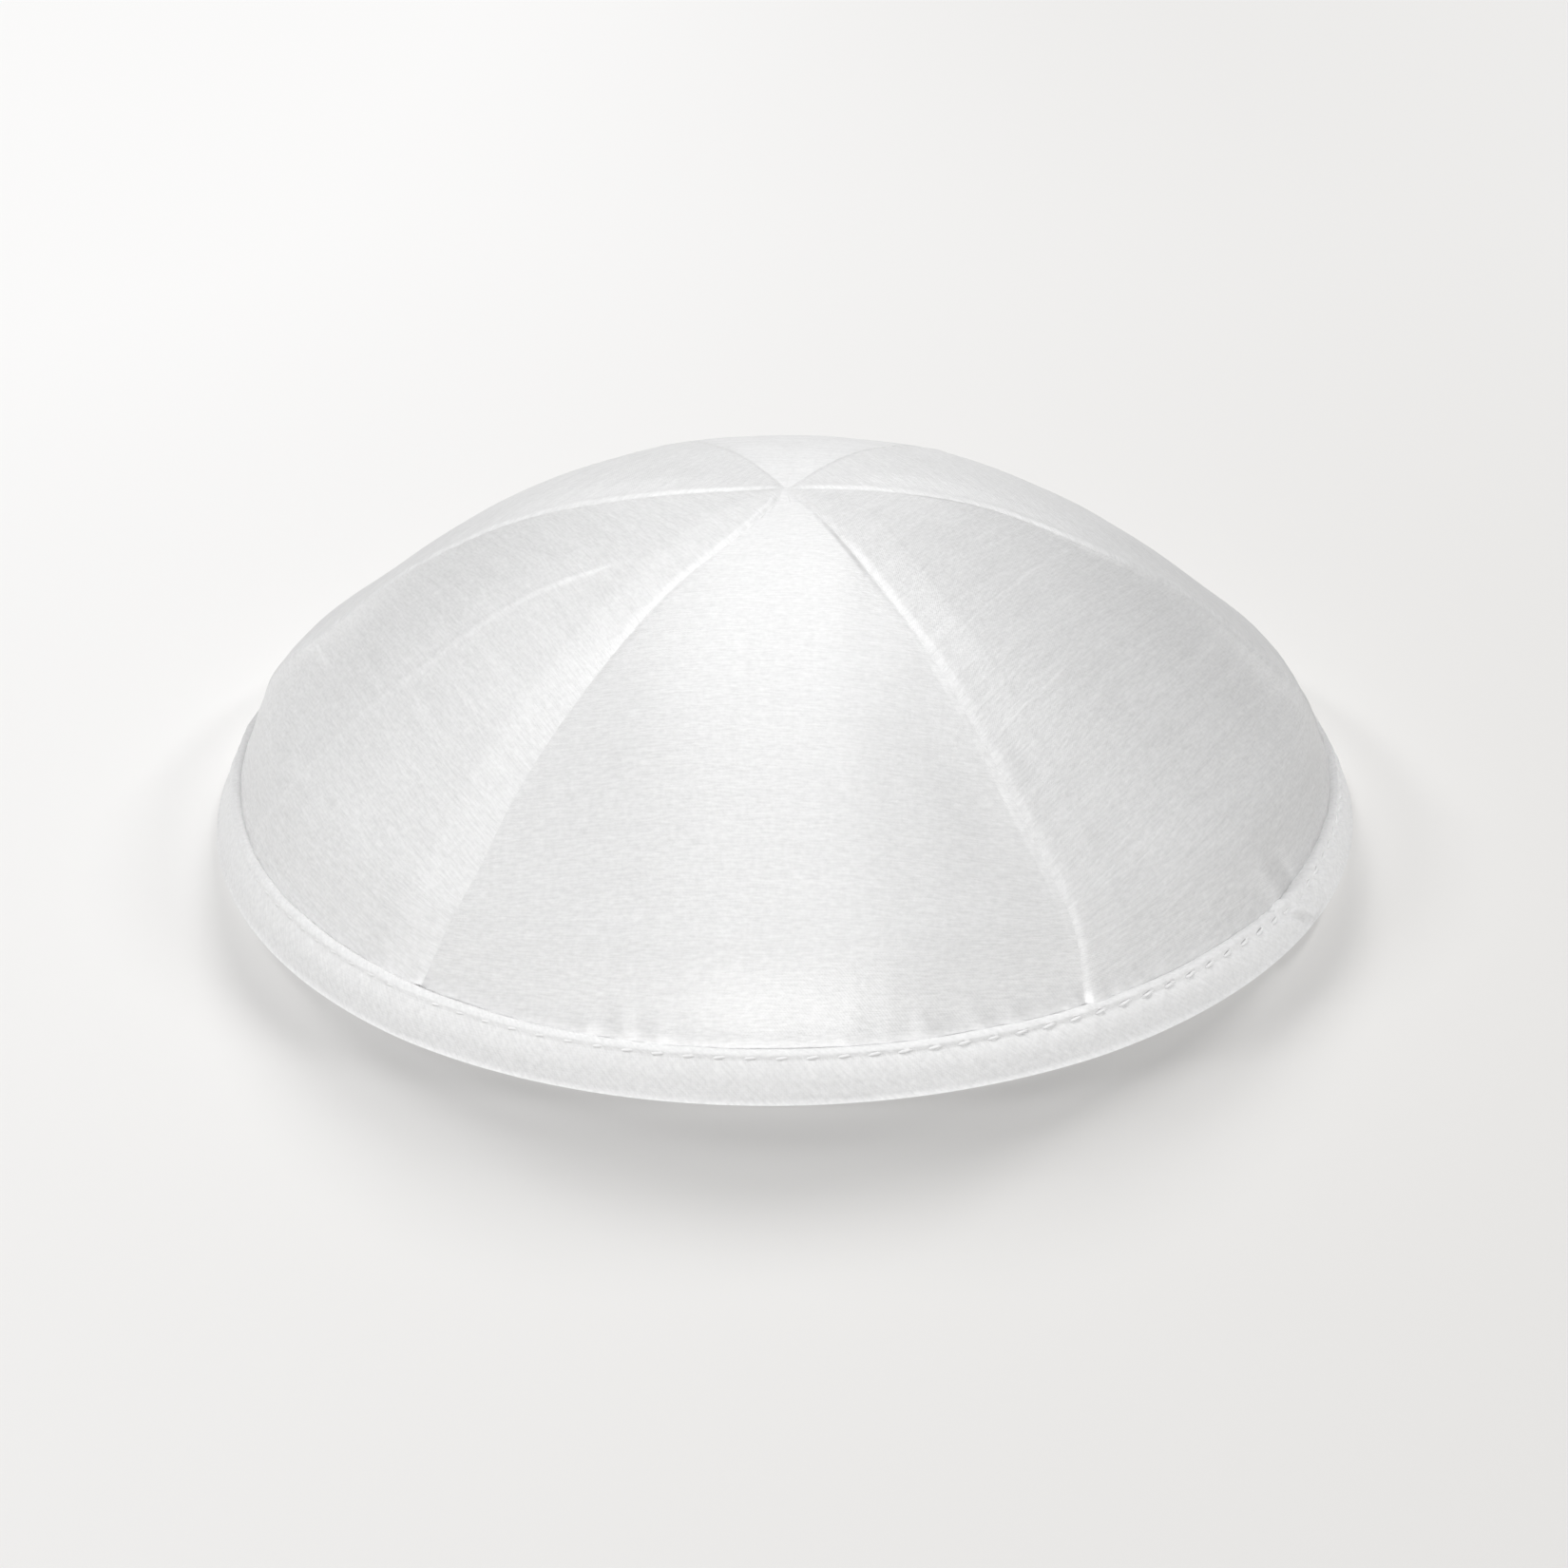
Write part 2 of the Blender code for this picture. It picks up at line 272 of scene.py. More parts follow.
silkGores = {
    "columns": 120,
    "rows": 190,
    "crowding": 0.74,  # how much closer the columns stand beside the seams than in the middle
    "uvSpacing": 200.0,  # mm between one gore's pattern and the next's
    "ditch": 0.04,  # mm that the sewn line lies below the cloth
    "ditchWidth": 0.5,
    "seamStitch": (0.05, 2.9),  # dimples of the seam's own stitches: depth and pitch in mm
    "crownDip": 0.10,
    "shelf": 0.10,  # mm that the cloth stands higher over the allowances
    "shelfSoftness": 2.0,
    "bandLine": 0.02,  # mm, the faint line where the allowances end
    "waves": ((0.26, 17.0, 34.0), (0.07, 6.5, 15.0)),  # height, size across and size down, in mm
    "seamPucker": (0.07, 2.6, 3.0),  # height, size along the seam and reach from it
    "unsewn": 1.3,  # mm from a seam at which the cloth is free to wave
    "pressed": (-2.2, 0.2),  # mm above the binding's lip, between which the binding presses it flat
    "tip": 2.2,  # mm round the crown that stay smooth
    "lipSwell": (0.32, 0.9, 1.3),  # the cloth's swelling over the binding's lip: height, mm above it and reach
    "lipPucker": (0.24, 2.3, 3.2),  # height, size along the binding and reach above it
    # single puckers above the binding: azimuth in degrees, mm above the lip, width, reach and height
    "puckers": (
        {"azimuth": -17.5, "up": 1.2, "width": 0.9, "reach": 1.5, "height": 0.62},
        {"azimuth": -14.1, "up": 2.0, "width": 1.0, "reach": 1.9, "height": 0.80},
        {"azimuth": -11.0, "up": 1.5, "width": 0.9, "reach": 1.6, "height": 0.62},
        {"azimuth": 12.9, "up": 1.6, "width": 1.1, "reach": 2.2, "height": 0.26},
        {"azimuth": 17.7, "up": 1.5, "width": 1.2, "reach": 2.4, "height": 0.32},
        {"azimuth": 20.9, "up": 1.2, "width": 1.0, "reach": 2.0, "height": 0.30},
        {"azimuth": 55.0, "up": 2.6, "width": 1.5, "reach": 4.2, "height": 0.60},
        {"azimuth": 58.7, "up": 2.6, "width": 1.2, "reach": 3.4, "height": -0.40},
    ),
    # a pressed crease down the front left gore, by mm from its middle at mm from the crown, and how much it
    # whitens the silk
    "crease": {"gore": "front_left", "height": 0.16, "width": 0.60, "tone": 0.8,
        "line": ((30, 5.3), (35, 4.6), (43, 2.9), (52, 1.5), (62, 1.2), (72, -0.6), (82, -0.8), (88, -1.0),
            (97, -4.0)), "ends": (28, 36, 96, 101)},
    # long slack dips beside a seam: gore, mm from the left seam, mm from the crown, sizes and depth
    "dips": (
        {"gore": "front", "side": 1, "from": 5.0, "down": 66, "across": 4.5, "along": 11, "height": -0.28},
        {"gore": "front", "side": 1, "from": 4.5, "down": 86, "across": 4.5, "along": 10, "height": -0.16},
        {"gore": "front", "side": -1, "from": 5.0, "down": 78, "across": 6, "along": 14, "height": -0.10},
    ),
}


# Height of the cloth over a seam, with the distance from it counted towards the raised side
def seamRoll(distance, edge, width, fall):
    past = distance - 0.9 * width
    return edge * bell(past, width * np.where(past > 0, fall, 1))


# Height of a gore's cloth over its smooth surface in mm, from distances in mm, and how much allowance is under it
def goreRelief(index, fromLeft, fromRight, radius, above, azimuth, u, v):
    row = gores[index]
    toCrown = np.clip(1 - radius / edgeRadius, 0, 1)
    half = (fromLeft + fromRight) / 2
    free = silkGores["unsewn"]
    unsewn = smoothStep(0, free, fromLeft) * smoothStep(0, free, fromRight)
    relief, allowance = 0, 0
    for seam, distance, mine, width, cover in (
        (row, fromLeft, 1, row["band"][0], row["cover"][0]),
        (gores[(index + 1) % len(gores)], fromRight, -1, row["band"][1], row["cover"][1]),
    ):
        edge, roll, fall = [
            np.interp(toCrown, np.linspace(0, 1, len(seam[key])), seam[key]) for key in ("edge", "width", "fall")
        ]
        sign = 1 if seam["raised"] == mine else -1
        fade = smoothStep(0.5, 4.0, half)
        relief = relief + fade * seamRoll(sign * distance, edge, roll, fall)
        width = np.minimum(width, half)
        soft = silkGores["shelfSoftness"]
        band = 1 - smoothStep(width - soft, width + soft, distance)
        relief = relief + silkGores["shelf"] * cover * band * smoothStep(0, 1.5, distance)
        relief = relief + silkGores["bandLine"] * bell(distance - width, 0.5) * smoothStep(4, 9, half)
        allowance = np.maximum(allowance, cover * band)
        depth, pitch = silkGores["seamStitch"]
        along = (profileArcs[-1] / mm - v) / pitch
        dimple = depth * (0.5 + 0.5 * np.cos(2 * pi * along)) * bell(distance - 0.1, 0.5)
        relief = relief - silkGores["ditch"] * bell(distance, silkGores["ditchWidth"]) - dimple
    smooth = 0
    for height, across, down in silkGores["waves"]:
        smooth = smooth + height * noiseAt(u / across, v / down, 7.3 * index + across)
    height, size, reach = silkGores["seamPucker"]
    nearest = np.minimum(fromLeft, fromRight)
    smooth = smooth + height * noiseAt(v / size, 3.1 * index + np.sign(u), 0.5) * bell(nearest - 0.8, reach)
    height, size, reach = silkGores["lipPucker"]
    smooth = smooth + height * noiseAt(u / size, above / 7.0, 11.0 + index) * np.exp(-np.maximum(above, 0) / reach)
    height, up, reach = silkGores["lipSwell"]
    smooth = smooth + height * bell(above - up, reach)
    for pucker in silkGores["puckers"]:
        along = (azimuth - radians(pucker["azimuth"])) * radius / mm + 0.35 * (above - pucker["up"])
        upwards = bell(above - pucker["up"], pucker["reach"])
        smooth = smooth + pucker["height"] * bell(along, pucker["width"]) * upwards
    crease = silkGores["crease"]
    if row["name"] == crease["gore"]:
        line = np.interp(v, *zip(*crease["line"]))
        starts, full, fades, over = crease["ends"]
        ends = smoothStep(starts, full, v) * (1 - smoothStep(fades, over, v))
        smooth = smooth + crease["height"] * bell(u - line, crease["width"]) * ends
        allowance = allowance + crease["tone"] * bell(u - line, crease["width"]) * ends
    for dip in silkGores["dips"]:
        if row["name"] == dip["gore"]:
            distance = fromRight if dip["side"] == 1 else fromLeft
            spot = bell(distance - dip["from"], dip["across"]) * bell(v - dip["down"], dip["along"])
            smooth = smooth + dip["height"] * spot
    relief = relief + smooth * unsewn
    relief = relief * smoothStep(*silkGores["pressed"], above)
    tip = smoothStep(0, silkGores["tip"], radius / mm)
    return relief * tip - silkGores["crownDip"] * (1 - tip), allowance


def makeGore(index):
    piece = addGrid("silk_" + gores[index]["name"], silkGores["columns"], silkGores["rows"])
    mesh = piece.data
    crowding = silkGores["crowding"]

    def layOut(across, down):
        across = across - crowding * np.sin(2 * pi * across) / (2 * pi)
        radius = np.interp(down * profileArcs[-1], profileArcs, profileRadii)
        left, right = goreEnds(index, radius)
        azimuth = left + across * (right - left)
        fromMiddle = azimuth - (left + right) / 2
        level = np.interp(radius, profileRadii, profileLevel)
        u = radius * np.sin(fromMiddle)
        v = down * profileArcs[-1] - radius * level * (1 - np.cos(fromMiddle))  # straight weft lines
        return across, radius, left, right, azimuth, u / mm, v / mm

    points = readPoints(mesh)
    down = 0.5 - points[:, 1]
    across, radius, left, right, azimuth, u, v = layOut(points[:, 0] + 0.5, down)
    surface = placeOnCap(planRadius(index, radius, azimuth), azimuth, seamHeight(radius), radius / edgeRadius)
    writePoints(mesh, surface)
    normals = readNormals(mesh)
    normals[radius < 0.01 * mm] = 0, 0, 1
    width = radius * (right - left) / mm
    above = (lipArc - down * profileArcs[-1]) / mm
    turned = (azimuth + pi) % (2 * pi) - pi
    relief, layers = goreRelief(index, across * width, (1 - across) * width, radius, above, turned, u, v)
    writePoints(mesh, surface + normals * (relief * mm)[:, None])
    allowance = mesh.attributes.new("allowance", "FLOAT", "POINT")
    allowance.data.foreach_set("value", (layers + 0 * radius).astype(np.float32))
    grid = readGridUv(mesh)
    *_, u, v = layOut(grid[:, 0], 1 - grid[:, 1])
    writeUv(mesh, u + index * silkGores["uvSpacing"], v)
    weldDoubles(mesh, 1e-6, np.flatnonzero(radius < 0.01 * mm))
    wall = piece.modifiers.new("wall", "SOLIDIFY")
    wall.thickness = cap["wall"]
    wall.offset = -1
    wall.use_even_offset = True
    applyModifiers(piece)
    mesh.shade_smooth()
    bpy.ops.object.shade_smooth_by_angle(angle=radians(50))
    return piece


bindingStrip = {
    "steps": 1080,
    "points": 60,
    "corner": 0.03 * mm,  # rounding of the fold where it meets the floor
    "bulge": 0.20 * mm,  # how far the outer leg swells
    "lipRoll": 0.05 * mm,
    "stitchPitch": 3.95,  # mm
    "holeWidth": 0.75,  # mm
    "pull": 0.05,  # mm that it swells between two holes
    "waves": ((0.12, 16.0), (0.06, 5.0)),  # height and size in mm
    "lipWaves": (0.09, 11),  # mm, and how many times round
    "seamBump": (0.14, 3.0),  # over each seam: height and width in mm
    # by azimuth in degrees: how much higher than usual the lip runs, how far below it the stitches are,
    # how deep their groove is and how much deeper it is at a needle hole, all in mm
    "lip": ((-180, -0.2), (-125, -0.8), (-102, -0.5), (-80, 0.3), (-65, 0.45), (-45, 0.65), (-25, 0.42),
        (0, 0.38), (15, 0.3), (30, 0.1), (42, -0.1), (50, -0.3), (57, -0.6), (63, -0.1), (76, 0), (100, -0.5),
        (125, -0.7), (180, -0.2)),
    "line": ((-180, 1.4), (-60, 1.35), (-20, 1.15), (5, 1.1), (25, 1.2), (40, 1.35), (55, 1.45), (70, 1.8), (110, 1.5),
        (180, 1.4)),
    "groove": ((-180, 0.1), (-70, 0.02), (-20, 0.03), (5, 0.07), (30, 0.16), (50, 0.18), (75, 0.24), (110, 0.16),
        (180, 0.1)),
    "hole": ((-180, 0.2), (-70, 0.08), (-20, 0.10), (5, 0.18), (30, 0.42), (50, 0.44), (75, 0.44), (110, 0.36),
        (180, 0.2)),
    # and how far the thread stands over the groove's bottom
    "sit": ((-180, -0.05), (-70, -0.18), (-20, -0.14), (5, -0.06), (30, 0.04), (60, 0.04), (110, 0), (180, -0.05)),
    # the lapped ends of the strip: azimuth of the folded edge, its lean, its step and reach in mm, and creases
    # beside it as azimuth, lean and depth
    "lap": {"azimuth": 57.0, "lean": 44, "step": 0.50, "reach": 9.0,
        "creases": ((56.2, 44, 0.40), (62.9, 8, 0.32), (65.5, 20, 0.18), (59.2, 50, 0.2), (53.4, 40, 0.16))},
}


# A point out from the gores' face and up the slope from their raw edge, as radius and height
def onSlope(out, up):
    radius = edgeRadius + out * cos(lean) - up * sin(lean)
    return radius, edgeHeight + out * sin(lean) + up * cos(lean)


def onFloor(out):
    return edgeRadius + out * cos(lean) + (edgeHeight + out * sin(lean)) * tan(lean)


# Points of the strip's section, from its outer foot up over the lip, round the raw edge and down the inner leg.
# Names mark the points that the stitching and the lip's waves look for.
def bindingSection():
    strip = bindingStrip
    outer, inner, corner = outerFace, innerFace, strip["corner"]
    line = lipRun - 1.25 * mm
    half = cap["bindingLeg"] / 2
    through = -cap["wall"]
    roll, bulge = strip["lipRoll"], strip["bulge"]
    knots = (
        ("foot", onFloor(outer) - 1.3 * corner, 0.0),
        ("", onFloor(outer) - 0.1 * corner, 0.55 * corner),
        ("", *onSlope(outer + 0.6 * bulge, -1.1 * mm)),
        ("", *onSlope(outer + bulge, 0.3 * mm)),
        ("", *onSlope(outer + 0.5 * bulge, line - 0.75 * mm)),
        ("outerLine", *onSlope(outer, line)),
        ("", *onSlope(outer + 0.3 * roll, line + 0.4 * mm)),
        ("", *onSlope(outer + roll, line + 0.75 * mm)),
        ("", *onSlope(outer - 0.15 * mm, lipRun - 0.28 * mm)),
        ("outerLip", *onSlope(half + 0.05 * mm, lipRun - 0.02 * mm)),
        ("", *onSlope(0.06 * mm, lipRun + 0.06 * mm)),
        ("", *onSlope(-0.10 * mm, lipRun - 0.4 * mm)),
        ("", *onSlope(0.1 * mm, 1.0 * mm)),
        ("", *onSlope(0.1 * mm, -0.1 * mm)),
        ("", *onSlope(through / 2, -0.35 * mm)),
        ("", *onSlope(through - 0.1 * mm, -0.1 * mm)),
        ("", *onSlope(through - 0.1 * mm, 1.0 * mm)),
        ("", *onSlope(through + 0.02 * mm, lipRun - 0.6 * mm)),
        ("", *onSlope(through - 0.14 * mm, lipRun - 0.12 * mm)),
        ("innerLip", *onSlope(inner + half, lipRun)),
        ("", *onSlope(inner - roll, lipRun - 0.5 * mm)),
        ("innerLine", *onSlope(inner, line)),
        ("", *onSlope(inner - 0.5 * bulge, line - 0.8 * mm)),
        ("", onFloor(inner) + 0.1 * corner, 0.9 * corner),
        ("", onFloor(inner) + 1.3 * corner, 0.0),
    )
    names = {name: i for i, (name, *_) in enumerate(knots) if name}
    return np.array([knot[1:] for knot in knots]), names


# Samples a closed curve through the knots evenly, and gives each sample's place between the knots
def roundTheKnots(knots, count):
    loop = np.vstack([knots[-1:], knots, knots[:2]])
    dense, place = [], []
    for i in range(len(knots)):
        a, b, c, d = loop[i:i + 4]
        t = np.linspace(0, 1, 40, endpoint=False)[:, None]
        bend = (2 * a - 5 * b + 4 * c - d) * t**2 + (3 * b - 3 * c + d - a) * t**3
        dense.append(0.5 * (2 * b + (c - a) * t + bend))
        place.append(i + t[:, 0])
    dense = np.vstack(dense + [knots[:1]])
    place = np.concatenate(place + [[len(knots)]])
    dense[:, 1] = np.maximum(dense[:, 1], 0)
    run = np.concatenate([[0], np.cumsum(np.hypot(*np.diff(dense, axis=0).T))])
    even = np.linspace(0, run[-1], count + 1)
    section = np.stack([np.interp(even, run, dense[:, k]) for k in (0, 1)], -1)
    return section, even, np.interp(even, run, place)


sectionKnots, knotNames = bindingSection()
section, sectionRun, sectionPlace = roundTheKnots(sectionKnots, bindingStrip["points"])
sectionTurn = np.gradient(section, axis=0)
sectionTurn[0] = sectionTurn[-1] = section[1] - section[-2]
sectionNormal = np.stack([sectionTurn[:, 1], -sectionTurn[:, 0]], -1)
sectionNormal /= np.linalg.norm(sectionNormal, axis=1)[:, None]
rimLength = 2 * pi * edgeRadius / mm
stitchCount = round(rimLength / bindingStrip["stitchPitch"])


# A value of the strip at an azimuth in radians, from its table in degrees
def alongStrip(table, azimuth):
    turned = np.degrees((azimuth + pi) % (2 * pi) - pi)
    return smoothCurve(bindingStrip[table])(turned)


# How far out of round the gores' edge is
def edgeFit(azimuth):
    fit = np.zeros(azimuth.shape)
    for index in range(len(gores)):
        left, right = goreEnds(index, edgeRadius)
        inside = (azimuth - left) % (2 * pi) <= right - left
        own = left + (azimuth[inside] - left) % (2 * pi)
        fit[inside] = planRadius(index, edgeRadius, own) - edgeRadius
    return fit


# Points of the strip at azimuths and at rows of its section, with relief in mm. up shifts them along the slope.
def placeStrip(azimuth, row, relief, up):
    radius = section[row, 0] + sectionNormal[row, 0] * relief * mm - up * mm * sin(lean)
    height = section[row, 1] + sectionNormal[row, 1] * relief * mm + up * mm * cos(lean)
    return placeOnCap(radius + edgeFit(azimuth), azimuth, np.maximum(height, 0), 1)


# How far up the slope each row goes with the lip and with the stitched line
def stripShift(azimuth, row):
    place = sectionPlace[row]
    lipShare = bell(place - knotNames["outerLip"], 2.2) + 0.3 * bell(place - knotNames["innerLip"], 2.0)
    lineShare = bell(place - knotNames["outerLine"], 1.7)
    lip = alongStrip("lip", azimuth)
    return lip * np.maximum(lipShare, lineShare) + (1.25 - alongStrip("line", azimuth)) * lineShare


def makeBinding():
    strip = bindingStrip
    piece = addGrid("rim_binding_strip", strip["steps"], strip["points"])
    mesh = piece.data
    points = readPoints(mesh)
    azimuth = (points[:, 0] + 0.5) * 2 * pi
    row = np.rint((points[:, 1] + 0.5) * strip["points"]).astype(int)
    place = sectionPlace[row]
    phase = (azimuth / (2 * pi) * stitchCount) % 1 - 0.5
    fromHole = (0.5 - np.abs(phase)) * rimLength / stitchCount
    onLine = bell(place - knotNames["outerLine"], 0.7) + bell(place - knotNames["innerLine"], 0.7)
    beside = bell(place - knotNames["outerLine"] + 1.5, 1.1) + bell(place - knotNames["outerLine"] - 2, 1.0)
    hole = alongStrip("hole", azimuth) * bell(fromHole, strip["holeWidth"])
    relief = -onLine * (alongStrip("groove", azimuth) + hole)
    relief = relief + strip["pull"] * beside * np.cos(2 * pi * phase)
    for height, size in strip["waves"]:
        ring = rimLength / size / (2 * pi)
        onRing = ring * np.sin(azimuth), ring * np.cos(azimuth)
        relief = relief + height * noiseAt(*onRing, sectionRun[row] / mm / size)
    height, width = strip["seamBump"]
    for gore in gores:
        off = ((azimuth - radians(gore["azimuth"]) + pi) % (2 * pi) - pi) * edgeRadius / mm
        relief = relief + height * bell(off, width) * bell(place - 5.5, 4)
    lap = strip["lap"]
    upLeg = sectionRun[row] / mm
    outerLeg = 1 - smoothStep(9.2, 11.5, place)

    def leaning(degrees, slope):
        off = ((azimuth - radians(degrees) + pi) % (2 * pi) - pi) * edgeRadius / mm
        return off + (upLeg - 3.5) * tan(radians(slope))

    past = leaning(lap["azimuth"], lap["lean"])
    relief = relief + outerLeg * lap["step"] * smoothStep(-0.3, 0.3, past) * (1 - smoothStep(2, lap["reach"], past))
    for degrees, slope, depth in lap["creases"]:
        relief = relief - outerLeg * depth * bell(leaning(degrees, slope), 0.38) * smoothStep(0.3, 1.5, upLeg)
    relief = relief * smoothStep(0.0, 0.9 * mm, section[row, 1])  # flat where it lies on the floor
    height, times = strip["lipWaves"]
    wave = height * noiseAt(times * np.sin(azimuth), times * np.cos(azimuth), 4.0) * bell(place - 9, 2.2)
    writePoints(mesh, placeStrip(azimuth, row, relief, wave + stripShift(azimuth, row)))
    grid = readGridUv(mesh)
    across = np.interp(grid[:, 1], np.linspace(0, 1, len(sectionRun)), sectionRun) / mm
    writeUv(mesh, grid[:, 0] * rimLength, across)
    weldDoubles(mesh, 2e-6)
    mesh.shade_smooth()
    bpy.ops.object.shade_smooth_by_angle(angle=radians(60))
    return piece


silkPieces = [makeGore(index) for index in range(len(gores))]
for piece in silkPieces:
    print(piece.name, len(piece.data.polygons), "faces")
binding = makeBinding()
print(binding.name, len(binding.data.polygons), "faces,", stitchCount, "stitches round")


thread = {
    "radius": 0.26,  # mm
    "length": 2.7,
    "sink": 0.48,  # how far its ends go down into the cloth
    "slant": 9,  # degrees, up to the right
    "segments": 8,
    "rings": 5,
}


# One stitch of thread, with its ends drawn down into the cloth. Its length is along X and it lies on Z = 0.
def makeStitch():
    bpy.ops.object.select_all(action="DESELECT")
    bpy.ops.mesh.primitive_uv_sphere_add(segments=thread["segments"], ring_count=thread["rings"], radius=1)
    stitch = bpy.context.object
    bpy.ops.object.mode_set(mode="EDIT")
    bpy.ops.mesh.select_all(action="SELECT")
    bpy.ops.transform.rotate(value=pi / 2, orient_axis="Y", center_override=(0, 0, 0))
    bpy.ops.object.mode_set(mode="OBJECT")
    points = readPoints(stitch.data)
    reach = np.clip(np.abs(points[:, 0]), 0, 1)
    full = ((1 - reach**4) / np.maximum(1 - reach**2, 1e-6)) ** 0.5  # a blunter end than a ball's
    full[reach > 0.999] = 0
    points[:, 1:] *= thread["radius"] * full[:, None]
    points[:, 2] -= thread["sink"] * reach**3
    points[:, 0] *= thread["length"] / 2
    writePoints(stitch.data, points * mm)
    return stitch


# Copies of one mesh at many places, joined as a single piece
def joinCopies(name, template, matrices):
    bm = bmesh.new()
    for matrix in matrices:
        one = template.copy()
        one.transform(matrix)
        bm.from_mesh(one)
        bpy.data.meshes.remove(one)
    mesh = bpy.data.meshes.new(name)
    bm.to_mesh(mesh)
    bm.free()
    piece = bpy.data.objects.new(name, mesh)
    bpy.context.scene.collection.objects.link(piece)
    mesh.shade_smooth()
    return piece


def stitchRow(name, template, knot):
    row = np.full(stitchCount, int(np.argmin(np.abs(sectionPlace - knotNames[knot]))))
    azimuth = 2 * pi * np.arange(stitchCount) / stitchCount
    depth = alongStrip("sit", azimuth) - alongStrip("groove", azimuth)
    spots = placeStrip(azimuth, row, depth, stripShift(azimuth, row))
    out = sectionNormal[row[0]]
    matrices = []
    for angle, spot in zip(azimuth, spots):
        alongRim = Vector((cos(angle), sin(angle), 0))
        outwards = Vector((out[0] * sin(angle), -out[0] * cos(angle), out[1]))
        turn = Matrix((alongRim, outwards.cross(alongRim), outwards)).transposed().to_4x4()
        slant = Matrix.Rotation(radians(thread["slant"]), 4, "Z")
        matrices.append(Matrix.Translation(Vector(spot)) @ turn @ slant)
    return joinCopies(name, template, matrices)


stitch = makeStitch()
outerStitches = stitchRow("binding_stitches_outer", stitch.data, "outerLine")
innerStitches = stitchRow("binding_stitches_inner", stitch.data, "innerLine")
bpy.data.objects.remove(stitch)
print("stitches made")


# Adds a node, sets what is given by name and fills its inputs with values or with other nodes' outputs
def addNode(tree, kind, inputs=(), **settings):
    node = tree.nodes.new("ShaderNode" + kind)
    for name, value in settings.items():
        setattr(node, name, value)
    for socket, value in dict(inputs).items():
        if isinstance(value, bpy.types.NodeSocket):
            tree.links.new(value, node.inputs[socket])
        else:
            node.inputs[socket].default_value = value
    return node


def calculate(tree, operation, first, second=0.0, third=0.0):
    return addNode(tree, "Math", {0: first, 1: second, 2: third}, operation=operation).outputs[0]


def spread(tree, value, low, high, toLow=0.0, toHigh=1.0):
    ends = {"Value": value, "From Min": low, "From Max": high, "To Min": toLow, "To Max": toHigh}
    return addNode(tree, "MapRange", ends, interpolation_type="SMOOTHSTEP").outputs["Result"]


def streaks(tree, vector, length, width, detail, place=(0, 0, 0)):
    scaled = addNode(tree, "Mapping", {"Vector": vector, "Scale": (1 / length, 1 / width, 1), "Location": place})
    noiseNode = addNode(
        tree, "TexNoise", {"Vector": scaled.outputs["Vector"], "Scale": 1.0, "Detail": detail, "Roughness": 0.55},
        noise_dimensions="2D",
    )
    return noiseNode.outputs["Fac"]


def newGroup(name, inputs, outputs):
    group = bpy.data.node_groups.new(name, "ShaderNodeTree")
    for label, kind in inputs:
        group.interface.new_socket(label, in_out="INPUT", socket_type="NodeSocket" + kind)
    for label, kind in outputs:
        group.interface.new_socket(label, in_out="OUTPUT", socket_type="NodeSocket" + kind)
    return group, group.nodes.new("NodeGroupInput"), group.nodes.new("NodeGroupOutput")


weave = {
    "thread": 0.42,  # mm from one thread to the next
    "threadDepth": 0.16,
    # length along the weft and width in mm, and how strongly each kind shows
    "fine": (1.9, 0.30, 1.15),
    "middle": (6.5, 0.75, 0.30),
    "long": (24.0, 1.7, 0.25),
    "warp": (0.8, 9.0, 0.16),
    "grain": (0.65, 0.65, 0.80),
    "slub": (24.0, 0.9),
    "slubsFrom": 0.69,  # the noise's value above which a slub shows
}


# Cloth with uneven threads, from a UV map in mm with the weft along U. Streaks, Grain and Slubs say how
# strongly each shows, and Coarse how strongly the larger streaks.
def clothWeave():
    group, start, end = newGroup(
        "clothWeave",
        (("Vector", "Vector"), ("Streaks", "Float"), ("Slubs", "Float"), ("Grain", "Float"), ("Coarse", "Float")),
        (("Height", "Float"), ("Tone", "Float")),
    )
    vector = start.outputs["Vector"]

    def layer(kind, place):
        length, width, share = weave[kind]
        value = streaks(group, vector, length, width, 1.0, place)
        return calculate(group, "MULTIPLY", calculate(group, "SUBTRACT", value, 0.5), share)

    coarse = calculate(group, "ADD", layer("middle", (3.3, 7.1, 0)), layer("long", (9.2, 1.7, 0)))
    uneven = calculate(group, "MULTIPLY_ADD", coarse, start.outputs["Coarse"], layer("fine", (0, 0, 0)))
    uneven = calculate(group, "MULTIPLY", uneven, start.outputs["Streaks"])
    grain = calculate(group, "ADD", layer("grain", (5.5, 2.9, 0)), layer("warp", (7.4, 8.8, 0)))
    uneven = calculate(group, "MULTIPLY_ADD", grain, start.outputs["Grain"], uneven)
    slub = streaks(group, vector, *weave["slub"], 0.5, (1.9, 4.4, 0))
    slub = spread(group, slub, weave["slubsFrom"], weave["slubsFrom"] + 0.09)
    slub = calculate(group, "MULTIPLY", slub, start.outputs["Slubs"])
    tone = calculate(group, "ADD", uneven, slub)
    parts = addNode(group, "SeparateXYZ", {0: vector})
    threads = [
        calculate(group, "SINE", calculate(group, "MULTIPLY", parts.outputs[axis], 2 * pi / weave["thread"]))
        for axis in (0, 1)
    ]
    crossed = calculate(group, "MULTIPLY", threads[0], threads[1])
    height = calculate(group, "MULTIPLY_ADD", crossed, weave["threadDepth"], tone)
    group.links.new(height, end.inputs["Height"])
    group.links.new(tone, end.inputs["Tone"])
    return group


